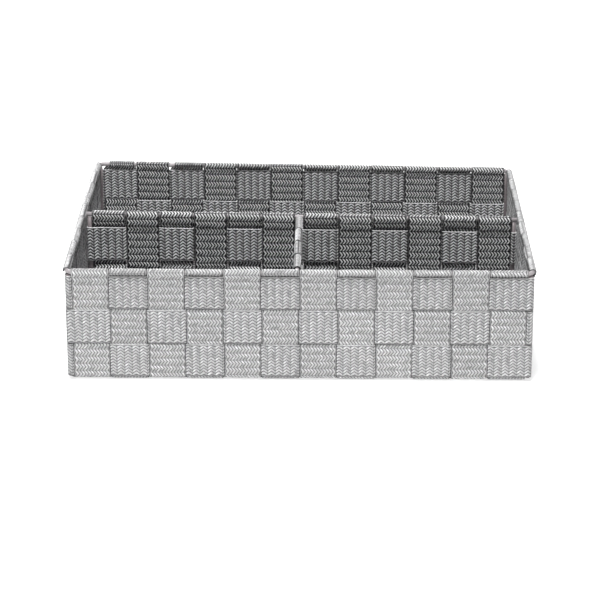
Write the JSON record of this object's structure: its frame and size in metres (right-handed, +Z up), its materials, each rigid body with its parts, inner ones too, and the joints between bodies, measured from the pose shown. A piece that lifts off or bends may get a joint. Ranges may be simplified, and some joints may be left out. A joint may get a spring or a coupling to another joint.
{
  "type": "bathroom organizer",
  "caption": "Low rectangular open organizer, plain woven from flat webbing over a wire frame and divided into compartments for toiletries.",
  "frame": {"origin": "middle of the underside, on the surface the organizer stands on", "axes": "+X along the width, to the right seen from the front; +Y from the front, with the small compartments, to the back; +Z up"},
  "size_m": [0.32, 0.25, 0.08],
  "materials": {
    "webbing": "matt grey herringbone webbing",
    "wire": "satin pale pinkish grey paint"
  },
  "bodies": {
    "root": {"rim_wire": "wire", "base_wire": "wire", "corner_post_front_left": "wire", "corner_post_front_right": "wire", "corner_post_back_left": "wire", "corner_post_back_right": "wire", "long_divider_top_wire": "wire", "long_divider_frame_wire": "wire", "short_divider_top_wire": "wire", "short_divider_frame_wire": "wire", "front_to_back_strap_1": "webbing", "front_to_back_strap_2": "webbing", "front_to_back_strap_3": "webbing", "front_to_back_strap_4": "webbing", "front_to_back_strap_5": "webbing", "front_to_back_strap_6": "webbing", "front_to_back_strap_7": "webbing", "front_to_back_strap_8": "webbing", "front_to_back_strap_9": "webbing", "front_to_back_strap_10": "webbing", "front_to_back_strap_11": "webbing", "front_to_back_strap_12": "webbing", "side_to_side_strap_1": "webbing", "side_to_side_strap_2": "webbing", "side_to_side_strap_3": "webbing", "side_to_side_strap_4": "webbing", "side_to_side_strap_5": "webbing", "side_to_side_strap_6": "webbing", "side_to_side_strap_7": "webbing", "side_to_side_strap_8": "webbing", "side_to_side_strap_9": "webbing", "lower_band": "webbing", "middle_band": "webbing", "upper_band": "webbing", "long_divider_strap_1": "webbing", "long_divider_strap_2": "webbing", "long_divider_strap_3": "webbing", "long_divider_strap_4": "webbing", "long_divider_strap_5": "webbing", "long_divider_strap_6": "webbing", "long_divider_strap_7": "webbing", "long_divider_strap_8": "webbing", "long_divider_strap_9": "webbing", "long_divider_strap_10": "webbing", "long_divider_strap_11": "webbing", "long_divider_strap_12": "webbing", "short_divider_strap_1": "webbing", "short_divider_strap_2": "webbing", "short_divider_strap_3": "webbing", "short_divider_strap_4": "webbing", "long_divider_upper_band": "webbing", "long_divider_lower_band": "webbing", "short_divider_upper_band": "webbing", "short_divider_lower_band": "webbing"}
  },
  "joints": []
}
